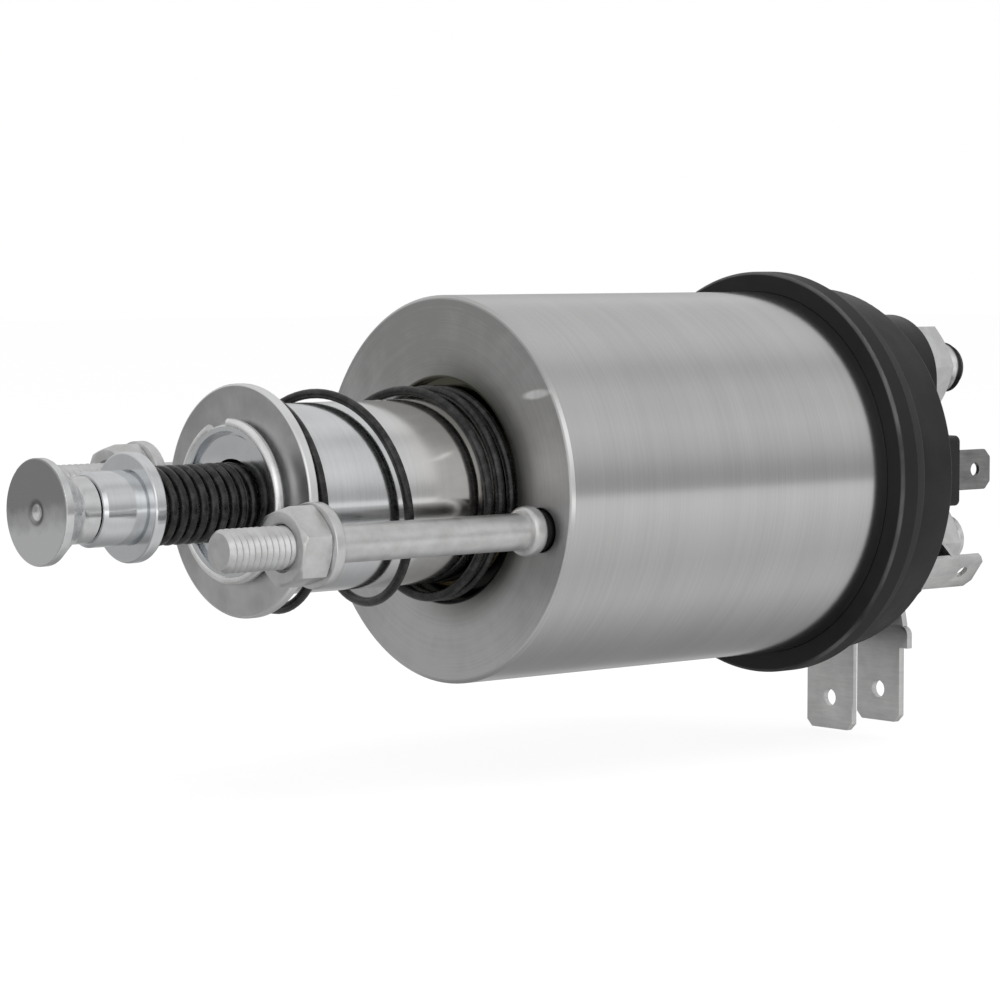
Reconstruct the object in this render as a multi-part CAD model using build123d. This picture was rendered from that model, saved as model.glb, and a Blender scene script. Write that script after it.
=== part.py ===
"""Solenoid switch of a starter motor.

Millimetres. X runs along the solenoid from the lever hook to the terminals, Z is up, and the
origin is the centre of the flat face that bolts to the starter. Every piece is one STEP file.
"""
from build123d import *
import os
from math import cos, hypot, radians, sin, tan

# Case: a drawn steel can whose closed end is the mounting face.
case_radius = 28.5
case_length = 66.5
case_wall = 2.0
face_wall = 4.0
case_edge_chamfer = 0.6
guide_hole_clearance = 0.05
spring_seat_depth = 1.2
spring_seat_clearance = 0.7

# Fits. A running fit is between moving pieces, a seat fit between fixed ones.
running_clearance = 0.06
seat_clearance = 0.05
wire_end_gap = 0.03

# Plunger, measured from the mounting face. Its stroke ends against the stop core.
plunger_radius = 13.5
plunger_shoulder_x = -35.7
plunger_rear_x = 14.0
plunger_stroke = 12.0
closed_air_gap = 0.4
cone_length = 6.0
cone_small_radius = 7.0
cone_large_radius = 12.8
plunger_bore_radius = 6.0
plunger_bore_floor_x = -21.0
rod_seat_end_x = -4.0
nose_radius = 10.3
nose_lip_radius = 10.75
nose_lip_thickness = 0.4
nose_lip_chamfer = 0.2
nose_groove_inner_radius = 9.3
nose_groove_outer_radius = 9.9
nose_groove_depth = 1.6
nose_plateau_drop = 0.9

# Spring plate and the open ring that holds it on the plunger nose.
plate_rim = 0.66
plate_thickness = 1.6
plate_edge_radius = 0.35
snap_ring_radius = 11.35
snap_ring_thickness = 1.5
snap_ring_gap = 4.0
snap_ring_gap_angle = 64.0

# Lever hook rod.
rod_radius = 3.6
rod_end_gap = 1.0
head_front_x = -71.0
head_radius = 7.3
head_rim = 1.2
head_edge_radius = 0.25
head_dimple_radius = 1.5
head_dimple_depth = 0.6
head_depth = 4.6
neck_radius = 4.6
neck_fillet = 2.3
neck_length = 3.1
neck_chamfer = 0.3
rod_pin_radius = 1.5
rod_pin_x = -12.0
rod_pin_inset = 0.2

# Spring collar that slides on the rod.
collar_rest_gap = 0.1
collar_nose_radius = 5.2
collar_nose_length = 6.5
collar_nose_chamfer = 0.45
collar_groove_width = 0.7
collar_groove_depth = 0.35
collar_flange_radius = 7.65
collar_flange_thickness = 1.9
collar_edge_radius = 0.4

# Springs: wire and mean coil radii, and turns.
lost_wire_radius = 0.75
lost_coil_radius = 4.85
lost_turns = 17.8
return_wire_radius = 0.7
return_spring_clearance = 0.9
return_spring_sag = 0.4
return_front_turns = 0.8
return_front_pitch = 1.06
return_blend_turns = 0.2
return_blend_pitch = 8.0
return_free_turns = 1.6
return_rear_turns = 2.08
return_rear_pitch = 2.1
return_end_angle = 210.0
pressure_wire_radius = 0.45
pressure_coil_radius = 3.4
pressure_turns = 5.5
contact_wire_radius = 0.4
contact_coil_radius = 3.3
contact_turns = 4.5

# Brass guide tube, coil former and the two windings.
guide_tube_wall = 0.64
guide_tube_inset = 0.4
bobbin_wall = 1.0
bobbin_flange_gap = 0.6
bobbin_flange_thickness = 1.5
winding_cover = 1.3

# Stop core and the plate that carries it.
core_plate_depth = 12.1
core_plate_thickness = 4.0
core_plate_clearance = 0.1
core_spigot_radius = 9.0
lead_hole_radius = 1.2
lead_radius = 0.7

# Seal ring over the joint of case and cap.
seal_grip = 1.9
seal_lip = 2.0
seal_height = 3.15
seal_edge_radius = 0.6

# Moulded terminal cap.
cap_spigot_clearance = 0.2
cap_wall = 1.6
cap_flange_drop = 1.35
cap_flange_thickness = 2.7
cap_body_drop = 1.4
cap_body_length = 7.7
cap_end_wall = 3.6
cap_rim_radius = 0.4
cap_flange_edge = 0.4
boss_height = 5.8
boss_radius = 10.1
boss_edge_chamfer = 0.3
hub_radius = 7.0
hub_pocket_radius = 4.2
hub_floor = 1.8
blade_pad_depth = 7.3
blade_pad_height = 11.0

# Terminals. Each stands inside the cap's chamber, at an angle from +Y towards +Z.
motor_stud_inset = 5.55
motor_stud_angle = 122.2
battery_stud_inset = 9.15
battery_stud_angle = 228.5
boss_top_drop = 1.5
stud_radius = 4.0
stud_head_flats = 9.0
stud_head_height = 3.0
motor_stud_rise = 13.5
battery_stud_rise = 13.9
stud_tip_chamfer = 0.9
stud_tip_length = 1.3
terminal_nut_flats = 13.0
terminal_nut_height = 6.3
motor_nut_angle = 117.0
battery_nut_angle = 179.0
lock_washer_radius = 7.2
lock_washer_thickness = 1.0
lock_washer_gap = 1.0
motor_lock_angle = 200.0
battery_lock_angle = 20.0
nut_chamfer_angle = 30.0

# Copper contacts and the moving bridge.
contact_thickness = 2.5
contact_margin = 0.5
contact_corner_radius = 1.5
contact_inner_y = 4.5
contact_side_reach = 6.3
motor_contact_drop = 7.2
motor_contact_rise = 6.3
battery_contact_drop = 6.35
battery_contact_rise = 3.15
bridge_length = 28.0
bridge_width = 9.0
bridge_thickness = 2.5
bridge_gap = 2.5
bridge_corner_radius = 2.0
bush_sleeve_radius = 2.6
bush_flange_radius = 4.4
bush_flange_thickness = 1.2
bridge_washer_radius = 3.6
bridge_washer_thickness = 1.0

# Contact rod, pushed by the plunger at the end of its stroke.
contact_rod_radius = 1.9
contact_rod_reach = 3.3
contact_rod_tail = 1.4
contact_rod_chamfer = 0.4
rod_collar_radius = 4.5
rod_collar_gap = 3.6
rod_collar_thickness = 1.5
clip_thickness = 0.8
clip_groove_depth = 0.5

# Cap screws.
screw_radius = 2.0
screw_y = 10.5
screw_z = 18.5
screw_head_radius = 3.6
screw_head_height = 2.6
screw_grip = 3.0
screw_slot_width = 1.0
screw_slot_depth = 1.2
screw_post_radius = 3.4

# Spade blades.
blade_thickness = 0.8
blade_width = 6.3
blade_hole_radius = 1.0
blade_corner = 1.2
blade_slot_clearance = 0.05
side_blade_inset = 4.9
side_blade_z = 0.6
side_blade_rise = 7.9
side_blade_hole_inset = 3.5
side_blade_foot_width = 2.6
side_blade_foot = 0.8
feed_direction = (-0.797, -0.604)
feed_inset = 3.0
feed_tongue_gap = 0.4
feed_rise = 8.9
feed_hole_inset = 3.6
feed_ring_radius = 7.2
feed_corner = 1.2

# Twin blade plate.
twin_thickness = 1.1
twin_ring_radius = 7.6
twin_step = 0.7
twin_step_top_z = -21.6
twin_step_bottom_z = -24.6
twin_web_width = 12.0
twin_web_y = 1.0
twin_left_width = 10.0
twin_left_y = 3.45
twin_left_tip_z = -42.8
twin_right_width = 9.2
twin_right_y = -7.3
twin_right_tip_z = -40.4
twin_hole_rise = 5.05
twin_hole_radius = 1.38
twin_shoulder = 1.7
twin_shoulder_top_z = -24.9
twin_shoulder_z = -28.4
twin_shoulder_corner = 1.4
twin_corner = 1.1

# Mounting studs, nuts and lock washers.
mount_stud_inset = 6.3
left_stud_angle = 4.4
right_stud_angle = 192.2
mount_thread_radius = 3.0
mount_shank_radius = 2.65
mount_tip_x = -56.8
mount_tip_chamfer = 0.7
mount_thread_run = 6.9
mount_bead_radius = 3.6
mount_bead_front_x = -3.8
mount_bead_rear_x = -1.4
mount_neck_radius = 2.9
mount_head_radius = 4.5
mount_head_height = 1.5
mount_countersink = 0.3
mount_nut_flats = 10.0
mount_nut_height = 5.0
left_nut_front_x = -44.1
right_nut_front_x = -46.5
mount_nut_angle = 102.8
left_lock_angle = 180.0
right_lock_angle = 0.0
mount_washer_radius = 5.9
mount_washer_thickness = 1.6

# Places that follow from the sizes above.
guide_bore_radius = plunger_radius + running_clearance
guide_tube_radius = guide_bore_radius + guide_tube_wall
case_bore_radius = guide_tube_radius + guide_hole_clearance
bobbin_bore_radius = guide_tube_radius + 2 * seat_clearance
bobbin_tube_radius = bobbin_bore_radius + bobbin_wall
core_radius = plunger_radius
return_coil_radius = plunger_radius + return_spring_clearance + return_wire_radius
return_outer_radius = return_coil_radius + return_wire_radius
plate_radius = return_outer_radius + plate_rim
spring_seat_radius = return_outer_radius + spring_seat_clearance
guide_tube_front_x = spring_seat_depth + guide_tube_inset
core_face_x = plunger_rear_x + plunger_stroke + closed_air_gap
case_inner_radius = case_radius - case_wall
core_plate_end_x = case_length - core_plate_depth
core_plate_x = core_plate_end_x - core_plate_thickness
bobbin_flange_radius = case_inner_radius - bobbin_flange_gap
hold_in_radius = bobbin_flange_radius - winding_cover
pull_in_radius = (bobbin_tube_radius + hold_in_radius) / 2
plate_front_x = plunger_shoulder_x - plate_thickness
lip_rear_x = plate_front_x - snap_ring_thickness
nose_front_x = lip_rear_x - nose_lip_thickness
neck_front_x = head_front_x + head_depth
neck_end_x = neck_front_x + neck_length
collar_front_x = neck_end_x + collar_rest_gap
collar_step_x = collar_front_x + collar_nose_length
collar_rear_x = collar_step_x + collar_flange_thickness
seal_front_x = case_length - seal_grip
seal_radius = case_radius + seal_height
cap_spigot_radius = case_inner_radius - cap_spigot_clearance
cap_chamber_radius = cap_spigot_radius - cap_wall
cap_flange_radius = seal_radius - cap_flange_drop
cap_body_radius = cap_flange_radius - cap_body_drop
cap_flange_x = case_length + seal_lip
cap_body_x = cap_flange_x + cap_flange_thickness
cap_rear_x = cap_body_x + cap_body_length
cap_chamber_end_x = cap_rear_x - cap_end_wall
boss_x = cap_rear_x + boss_height
motor_reach = cap_chamber_radius - motor_stud_inset
motor_place = (motor_reach * cos(radians(motor_stud_angle)), motor_reach * sin(radians(motor_stud_angle)))
battery_reach = cap_chamber_radius - battery_stud_inset
battery_place = (battery_reach * cos(radians(battery_stud_angle)),
                 battery_reach * sin(radians(battery_stud_angle)))
contact_outer_y = motor_place[0] - contact_side_reach
motor_contact_low_z = motor_place[1] - motor_contact_drop
motor_stud_end_x = boss_x + motor_stud_rise
battery_stud_end_x = boss_x + battery_stud_rise
side_blade_place = (side_blade_inset - cap_body_radius, side_blade_z)
side_blade_tip_x = boss_x + side_blade_rise
side_blade_hole_x = side_blade_tip_x - side_blade_hole_inset
feed_radius = cap_body_radius - feed_inset
feed_tip_x = boss_x + feed_rise
feed_hole_x = feed_tip_x - feed_hole_inset
motor_nut_x = boss_x + lock_washer_thickness
twin_rear_x = boss_x + twin_thickness
feed_rear_x = twin_rear_x + blade_thickness
battery_nut_x = feed_rear_x + lock_washer_thickness
hub_pocket_x = boss_x - hub_floor
contact_x = cap_chamber_end_x - contact_thickness
bridge_rear_x = contact_x - bridge_gap
bridge_front_x = bridge_rear_x - bridge_thickness
bush_front_x = bridge_front_x - bush_flange_thickness
clip_x = bridge_rear_x + bridge_washer_thickness
clip_rear_x = clip_x + clip_thickness
contact_rod_end_x = clip_rear_x + contact_rod_tail
contact_rod_front_x = core_face_x - contact_rod_reach
rod_collar_x = core_plate_end_x + rod_collar_gap
rod_collar_end_x = rod_collar_x + rod_collar_thickness
bush_bore_radius = contact_rod_radius + running_clearance


def across(x, y=0.0, z=0.0):
    """Plane square to the solenoid axis: local x is +Y, local y is +Z, and it extrudes along +X."""
    return Plane(origin=(x, y, z), x_dir=(0, 1, 0), z_dir=(1, 0, 0))


def bar(radius, start, end, place=(0.0, 0.0)):
    """Round bar along X between two stations."""
    return extrude(across(start, *place) * Circle(radius), end - start)


def ring(outer, inner, start, end, place=(0.0, 0.0)):
    """Plain washer or tube along X."""
    return bar(outer, start, end, place) - bar(inner, start, end, place)


def turned(outline, place=(0.0, 0.0)):
    """Turned piece: the (x, radius) outline is revolved about an axis along X through place."""
    return Pos(0, *place) * revolve(make_face(Polyline(*outline, close=True)), Axis.X)


def circles_at(solid, radius, x):
    """Circular edges of one radius lying at one station, for a fillet or a chamfer."""
    found = solid.edges().filter_by(GeomType.CIRCLE)
    return [e for e in found if abs(e.radius - radius) < 0.001 and abs(e.center().X - x) < 0.001]


def hexagon(flats, start, end, place, turn):
    """Hexagonal prism along X with one corner turned from +Y towards +Z by turn degrees."""
    outline = Rot(0, 0, turn) * RegularPolygon(flats / 2, 6, major_radius=False)
    if turn_offset(outline, turn):
        outline = Rot(0, 0, 30) * outline
    return extrude(across(start, *place) * outline, end - start)


def turn_offset(outline, turn):
    """True when the polygon has a flat, not a corner, in the asked direction."""
    aim = Vector(cos(radians(turn)), sin(radians(turn)), 0)
    reach = max(Vector(v.X, v.Y, 0).dot(aim) for v in outline.vertices())
    corner = max(hypot(v.X, v.Y) for v in outline.vertices())
    return reach < corner - 0.01


def nut(flats, bore, start, end, place, turn):
    """Hexagon nut with the corners of both faces turned off and a countersunk bore."""
    corner = flats / 2 / cos(radians(30))
    face = flats / 2 * 0.96
    drop = (corner - face) * tan(radians(nut_chamfer_angle))
    sink = bore * 0.12
    blank = turned([(start, bore + sink), (start, face), (start + drop, corner + 0.01),
                    (end - drop, corner + 0.01), (end, face), (end, bore + sink),
                    (end - sink, bore), (start + sink, bore)], place)
    return blank & hexagon(flats, start, end, place, turn)


def lock_washer(outer, inner, start, end, place, gap, turn):
    """Split spring washer with a slanting cut."""
    washer = ring(outer, inner, start, end, place)
    middle = (start + end) / 2
    cut = Pos(0, (outer + inner) / 2, 0) * Rot(0, 25, 0) * Box(outer, outer, gap)
    return washer - Pos(middle, *place) * Rot(turn, 0, 0) * cut


def coil(segments, coil_radius, wire_radius, start_x, start_angle):
    """Right-handed spring along +X, swept through (pitch, turns) segments."""
    edges = []
    x = 0.0
    angle = 0.0
    for pitch, turns in segments:
        length = pitch * turns
        helix = Helix(pitch=pitch, height=length, radius=coil_radius)
        edges += (Pos(0, 0, x) * Rot(0, 0, angle) * helix).edges()
        x += length
        angle += 360 * turns
    path = Wire(edges)
    wire = sweep(Plane(origin=path @ 0, z_dir=path % 0) * Circle(wire_radius), path, is_frenet=True)
    along_x = Plane(origin=(start_x, 0, 0), x_dir=(0, 1, 0), z_dir=(1, 0, 0))
    return along_x * Rot(0, 0, start_angle) * wire


def case():
    """Can, turned in one piece: spring seat, guide bore and two counterbored stud holes."""
    can = turned([(spring_seat_depth, case_bore_radius), (spring_seat_depth, spring_seat_radius),
                  (0, spring_seat_radius), (0, case_radius - case_edge_chamfer),
                  (case_edge_chamfer, case_radius), (case_length, case_radius),
                  (case_length, case_inner_radius), (face_wall, case_inner_radius),
                  (face_wall, case_bore_radius)])
    for place in (stud_place(left_stud_angle), stud_place(right_stud_angle)):
        hole = mount_neck_radius + seat_clearance
        can -= bar(hole, 0, face_wall, place)
        can -= bar(mount_head_radius + seat_clearance, face_wall - mount_head_height, face_wall, place)
        can -= turned([(0, 0), (0, hole + mount_countersink), (mount_countersink, hole),
                       (mount_countersink, 0)], place)
    return can


def stud_place(angle):
    """Centre of a mounting stud, a set distance in from the can's edge."""
    reach = case_radius - mount_stud_inset
    return (reach * cos(radians(angle)), reach * sin(radians(angle)))


def mounting_stud(angle, nut_x):
    """Long stud: threaded end, plain shank, bead near the face, and a head inside the can wall."""
    seat = face_wall - mount_head_height
    blend = mount_thread_radius - mount_shank_radius
    thread_end_x = nut_x + mount_thread_run
    stud = turned([
        (mount_tip_x, 0), (mount_tip_x, mount_thread_radius - mount_tip_chamfer),
        (mount_tip_x + mount_tip_chamfer, mount_thread_radius),
        (thread_end_x, mount_thread_radius), (thread_end_x + blend, mount_shank_radius),
        (mount_bead_front_x, mount_shank_radius), (mount_bead_front_x, mount_bead_radius),
        (mount_bead_rear_x, mount_bead_radius), (mount_bead_rear_x, mount_neck_radius),
        (seat, mount_neck_radius), (seat, mount_head_radius), (face_wall, mount_head_radius),
        (face_wall, 0)], stud_place(angle))
    bead = [e for x in (mount_bead_front_x, mount_bead_rear_x)
            for e in circles_at(stud, mount_bead_radius, x)]
    return fillet(bead, (mount_bead_radius - mount_neck_radius) * 0.95)


def mounting_nuts():
    """The two nuts, run on by hand to slightly different depths."""
    bore = mount_thread_radius + seat_clearance
    return [nut(mount_nut_flats, bore, front, front + mount_nut_height, stud_place(angle), mount_nut_angle)
            for front, angle in ((left_nut_front_x, left_stud_angle),
                                 (right_nut_front_x, right_stud_angle))]


def mounting_lock_washers():
    """Split washers behind the mounting nuts."""
    hole = mount_thread_radius + seat_clearance
    washers = []
    for nut_x, angle, cut in ((left_nut_front_x, left_stud_angle, left_lock_angle),
                              (right_nut_front_x, right_stud_angle, right_lock_angle)):
        front = nut_x + mount_nut_height
        washers.append(lock_washer(mount_washer_radius, hole, front, front + mount_washer_thickness,
                                   stud_place(angle), lock_washer_gap, cut))
    return washers


def plunger():
    """Plunger: grooved nose, spring bore, rod seat, cross hole and a conical rear pole."""
    plateau_x = nose_front_x + nose_plateau_drop
    groove_x = nose_front_x + nose_groove_depth
    seat = rod_radius + seat_clearance
    body = turned([
        (plateau_x, plunger_bore_radius), (plateau_x, nose_groove_inner_radius),
        (groove_x, nose_groove_inner_radius), (groove_x, nose_groove_outer_radius),
        (nose_front_x, nose_groove_outer_radius), (nose_front_x, nose_lip_radius - nose_lip_chamfer),
        (nose_front_x + nose_lip_chamfer, nose_lip_radius), (lip_rear_x, nose_lip_radius),
        (lip_rear_x, nose_radius), (plunger_shoulder_x, nose_radius),
        (plunger_shoulder_x, plunger_radius), (plunger_rear_x - cone_length, plunger_radius),
        (plunger_rear_x - cone_length, cone_large_radius), (plunger_rear_x, cone_small_radius),
        (plunger_rear_x, 0), (rod_seat_end_x, 0), (rod_seat_end_x, seat),
        (plunger_bore_floor_x, seat), (plunger_bore_floor_x, plunger_bore_radius)])
    return body - cross_bar(rod_pin_radius + seat_clearance / 2, plunger_radius + 1)


def cross_bar(radius, reach):
    """Upright round bar through the rod at the pin's station."""
    return Pos(rod_pin_x, 0, 0) * Cylinder(radius, 2 * reach)


def rod_pin():
    """Cross pin with rounded ends, just under the plunger's skin."""
    reach = plunger_radius - rod_pin_inset
    pin = cross_bar(rod_pin_radius, reach)
    return chamfer(pin.edges().filter_by(GeomType.CIRCLE), rod_pin_radius * 0.2)


def spring_plate():
    """Thin round plate on the plunger shoulder."""
    plate = ring(plate_radius, nose_radius + seat_clearance, plate_front_x, plunger_shoulder_x)
    rims = circles_at(plate, plate_radius, plate_front_x) + circles_at(plate, plate_radius, plunger_shoulder_x)
    return fillet(rims, plate_edge_radius)


def snap_ring():
    """Open ring in the nose groove, cut through at the upper left."""
    hoop = ring(snap_ring_radius, nose_radius + seat_clearance, lip_rear_x, plate_front_x)
    slot = Pos(0, snap_ring_radius, 0) * Box(4 * snap_ring_thickness, snap_ring_radius, snap_ring_gap)
    return hoop - Pos(lip_rear_x, 0, 0) * Rot(snap_ring_gap_angle, 0, 0) * slot


def hook_rod():
    """Mushroom-headed rod: rim, conical underside, neck, and a plain shank pinned in the plunger."""
    rod = turned([
        (head_front_x + head_dimple_depth, 0), (head_front_x, head_dimple_radius),
        (head_front_x, head_radius), (head_front_x + head_rim, head_radius),
        (neck_front_x, neck_radius), (neck_end_x - neck_chamfer, neck_radius),
        (neck_end_x, neck_radius - neck_chamfer), (neck_end_x, rod_radius),
        (rod_seat_end_x - rod_end_gap, rod_radius), (rod_seat_end_x - rod_end_gap, 0)])
    rod = fillet(circles_at(rod, head_radius, head_front_x), head_edge_radius)
    rod = fillet(circles_at(rod, neck_radius, neck_front_x), neck_fillet)
    return rod - cross_bar(rod_pin_radius + seat_clearance / 2, plunger_radius)


def spring_collar():
    """Flanged sleeve that the lost motion spring holds against the rod's neck."""
    bore = rod_radius + running_clearance
    groove = collar_nose_radius - collar_groove_depth
    sleeve = turned([
        (collar_front_x, bore), (collar_front_x, collar_nose_radius - collar_nose_chamfer),
        (collar_front_x + collar_nose_chamfer, collar_nose_radius),
        (collar_step_x - collar_groove_width, collar_nose_radius),
        (collar_step_x - collar_groove_width, groove), (collar_step_x, groove),
        (collar_step_x, collar_flange_radius), (collar_rear_x, collar_flange_radius),
        (collar_rear_x, bore)])
    rims = [e for x in (collar_step_x, collar_rear_x)
            for e in circles_at(sleeve, collar_flange_radius, x)]
    return fillet(rims, collar_edge_radius)


def lost_motion_spring():
    """Close black spring from the collar to the floor of the plunger bore."""
    room = plunger_bore_floor_x - collar_rear_x - 2 * wire_end_gap
    pitch = (room - 2 * lost_wire_radius) / lost_turns
    start = collar_rear_x + wire_end_gap + lost_wire_radius
    return coil([(pitch, lost_turns)], lost_coil_radius, lost_wire_radius, start, 90)


def return_spring():
    """Plunger return spring: closed front coil, open turns, and close coils in the can's seat.

    It is loose on the plunger and hangs down by its sag.
    """
    room = spring_seat_depth - plunger_shoulder_x - 2 * wire_end_gap - 2 * return_wire_radius
    fixed = (return_front_turns * return_front_pitch + 2 * return_blend_turns * return_blend_pitch
             + return_rear_turns * return_rear_pitch)
    blend = (return_blend_pitch, return_blend_turns)
    segments = [(return_front_pitch, return_front_turns), blend,
                ((room - fixed) / return_free_turns, return_free_turns), blend,
                (return_rear_pitch, return_rear_turns)]
    start = plunger_shoulder_x + wire_end_gap + return_wire_radius
    start_angle = return_end_angle - 360 * sum(turns for _, turns in segments)
    spring = coil(segments, return_coil_radius, return_wire_radius, start, start_angle)
    return Pos(0, 0, -return_spring_sag) * spring


def contact_pressure_spring():
    """Spring between the contact rod's collar and the bridge bush."""
    start = rod_collar_end_x + wire_end_gap + pressure_wire_radius
    room = bush_front_x - wire_end_gap - pressure_wire_radius - start
    return coil([(room / pressure_turns, pressure_turns)], pressure_coil_radius,
                pressure_wire_radius, start, 0)


def contact_return_spring():
    """Spring in the cap's hub that pushes the contact rod forward."""
    start = clip_rear_x + wire_end_gap + contact_wire_radius
    room = hub_pocket_x - wire_end_gap - contact_wire_radius - start
    return coil([(room / contact_turns, contact_turns)], contact_coil_radius,
                contact_wire_radius, start, 0)


def guide_tube():
    """Brass tube that the plunger runs in, from the mounting face to the core plate."""
    return ring(guide_tube_radius, guide_bore_radius, guide_tube_front_x, core_plate_x)


def coil_bobbin():
    """Former with two flanges; the rear flange has a hole for each lead."""
    front_end = face_wall + bobbin_flange_thickness
    rear_start = core_plate_x - bobbin_flange_thickness
    former = turned([
        (face_wall, bobbin_bore_radius), (face_wall, bobbin_flange_radius),
        (front_end, bobbin_flange_radius), (front_end, bobbin_tube_radius),
        (rear_start, bobbin_tube_radius), (rear_start, bobbin_flange_radius),
        (core_plate_x, bobbin_flange_radius), (core_plate_x, bobbin_bore_radius)])
    for place in lead_places():
        former -= bar(lead_radius + seat_clearance, rear_start, core_plate_x, place)
    return former


def winding(inner, outer):
    """One wound layer, filling the room between the former's flanges."""
    return ring(outer, inner, face_wall + bobbin_flange_thickness,
                core_plate_x - bobbin_flange_thickness)


def stop_core():
    """Fixed iron core: conical seat for the plunger, guide hole for the contact rod, spigot."""
    rim_x = core_face_x - cone_length
    bore = contact_rod_radius + running_clearance
    spread = closed_air_gap / 2
    return turned([
        (core_face_x, bore), (core_face_x, cone_small_radius + spread),
        (rim_x, cone_large_radius + spread), (rim_x, core_radius), (core_plate_x, core_radius),
        (core_plate_x, core_spigot_radius), (core_plate_end_x, core_spigot_radius),
        (core_plate_end_x, bore)])


def core_plate():
    """Iron plate that closes the magnetic circuit, with lead holes and tapped screw holes."""
    radius = case_radius - case_wall - core_plate_clearance
    plate = ring(radius, core_spigot_radius + seat_clearance, core_plate_x, core_plate_end_x)
    rims = circles_at(plate, radius, core_plate_x) + circles_at(plate, radius, core_plate_end_x)
    plate = chamfer(rims, case_edge_chamfer / 2)
    for place in lead_places():
        plate -= bar(lead_hole_radius, core_plate_x, core_plate_end_x, place)
    for place in screw_places():
        plate -= bar(screw_radius + seat_clearance, core_plate_x, core_plate_end_x, place)
    return plate


def lead_places():
    """Where the windings' ends run back: to the side blade and to the motor contact."""
    return (side_lead_place(), motor_lead_place())


def side_lead_place():
    """Centre of the lead that meets the side blade's foot."""
    return (side_blade_place[0] + lead_radius, side_blade_place[1])


def motor_lead_place():
    """Centre of the lead that meets the motor contact, half a lead inside its outer edge."""
    return (contact_outer_y + 2 * lead_radius, motor_contact_low_z + 2 * lead_radius)


def coil_leads():
    """Straight ends of the windings, one to the side blade and one to the motor contact."""
    start = core_plate_x - bobbin_flange_thickness
    side_end = cap_chamber_end_x - side_blade_foot
    return [bar(lead_radius, start, side_end, side_lead_place()),
            bar(lead_radius, start, contact_x, motor_lead_place())]


def seal_ring():
    """Rubber ring stepped over the can's rim, squeezed by the cap's flange."""
    outer = turned([
        (seal_front_x, case_radius + seat_clearance), (seal_front_x, seal_radius),
        (cap_flange_x, seal_radius), (cap_flange_x, cap_spigot_radius + 2 * seat_clearance),
        (case_length, cap_spigot_radius + 2 * seat_clearance),
        (case_length, case_radius + seat_clearance)])
    rims = circles_at(outer, seal_radius, seal_front_x) + circles_at(outer, seal_radius, cap_flange_x)
    return fillet(rims, seal_edge_radius)


def screw_places():
    """The cap screws stand clear of the contacts, above and below the axis."""
    return ((screw_y, screw_z), (screw_y, -screw_z))


def terminal_cap():
    """Moulded cap: spigot, flange, drum, terminal bosses, screw posts, hub and blade pad."""
    cap = turned([
        (core_plate_end_x, 0), (core_plate_end_x, cap_spigot_radius),
        (cap_flange_x, cap_spigot_radius), (cap_flange_x, cap_flange_radius),
        (cap_body_x, cap_flange_radius), (cap_body_x, cap_body_radius),
        (cap_rear_x, cap_body_radius), (cap_rear_x, 0)])
    cap = fillet(circles_at(cap, cap_body_radius, cap_rear_x), cap_rim_radius)
    edges = circles_at(cap, cap_flange_radius, cap_flange_x) + circles_at(cap, cap_flange_radius, cap_body_x)
    cap = fillet(edges, cap_flange_edge)
    cap += cap_bosses()
    posts = [bar(screw_post_radius, core_plate_end_x, cap_chamber_end_x, p) for p in screw_places()]
    chamber = bar(cap_chamber_radius, core_plate_end_x, cap_chamber_end_x)
    cap -= chamber - posts
    for place in (motor_place, battery_place):
        cap -= bar(stud_radius + seat_clearance, cap_chamber_end_x, boss_x, place)
    cap -= bar(hub_pocket_radius, cap_chamber_end_x, hub_pocket_x)
    for place in screw_places():
        cap -= bar(screw_radius + seat_clearance, core_plate_end_x, cap_rear_x, place)
    return cap - side_blade_blank(blade_slot_clearance)


def cap_bosses():
    """Raised seats on the cap's rear: a long boss for both studs, the hub and the blade's pad."""
    y, bottom_z = battery_place
    top_z = motor_place[1] - boss_top_drop
    height = top_z - bottom_z
    boss = Pos(y, (top_z + bottom_z) / 2) * SlotCenterToCenter(height, 2 * boss_radius, rotation=90)
    hub = Circle(hub_radius)
    pad_y = side_blade_place[0] + blade_pad_depth / 2 - 1.3
    pad = Pos(pad_y, side_blade_place[1]) * RectangleRounded(blade_pad_depth, blade_pad_height, 1.0)
    raised = extrude(across(cap_rear_x) * (boss + hub + pad), boss_height)
    return chamfer(raised.faces().sort_by(Axis.X)[-1].edges(), boss_edge_chamfer)


def terminal_stud(place, end):
    """Terminal bolt: hexagon head inside the cap, shank, and a turned-down tip."""
    head = hexagon(stud_head_flats, contact_x - stud_head_height, contact_x, place, 0)
    shank = turned([
        (contact_x, 0), (contact_x, stud_radius), (end - stud_tip_length, stud_radius),
        (end - stud_tip_length / 2, stud_radius - stud_tip_chamfer / 2),
        (end, stud_radius - stud_tip_chamfer), (end, 0)], place)
    return head + shank


def fixed_contact(place, drop, rise):
    """Copper contact: a plate cut to the chamber wall, with its stud hole."""
    width = contact_inner_y - contact_outer_y
    middle = Pos((contact_inner_y + contact_outer_y) / 2, place[1] + (rise - drop) / 2)
    outline = middle * RectangleRounded(width, rise + drop, contact_corner_radius)
    outline &= Circle(cap_chamber_radius - contact_margin)
    plate = extrude(across(contact_x) * outline, contact_thickness)
    return plate - bar(stud_radius + seat_clearance, contact_x, cap_chamber_end_x, place)


def terminal_lock_washers():
    """Split washers under both terminal nuts."""
    hole = stud_radius + seat_clearance
    return [lock_washer(lock_washer_radius, hole, boss_x, motor_nut_x, motor_place,
                        lock_washer_gap, motor_lock_angle),
            lock_washer(lock_washer_radius, hole, feed_rear_x, battery_nut_x, battery_place,
                        lock_washer_gap, battery_lock_angle)]


def terminal_nut(place, start, angle):
    """Terminal nut seated on its lock washer."""
    bore = stud_radius + seat_clearance
    return nut(terminal_nut_flats, bore, start, start + terminal_nut_height, place, angle)


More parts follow.
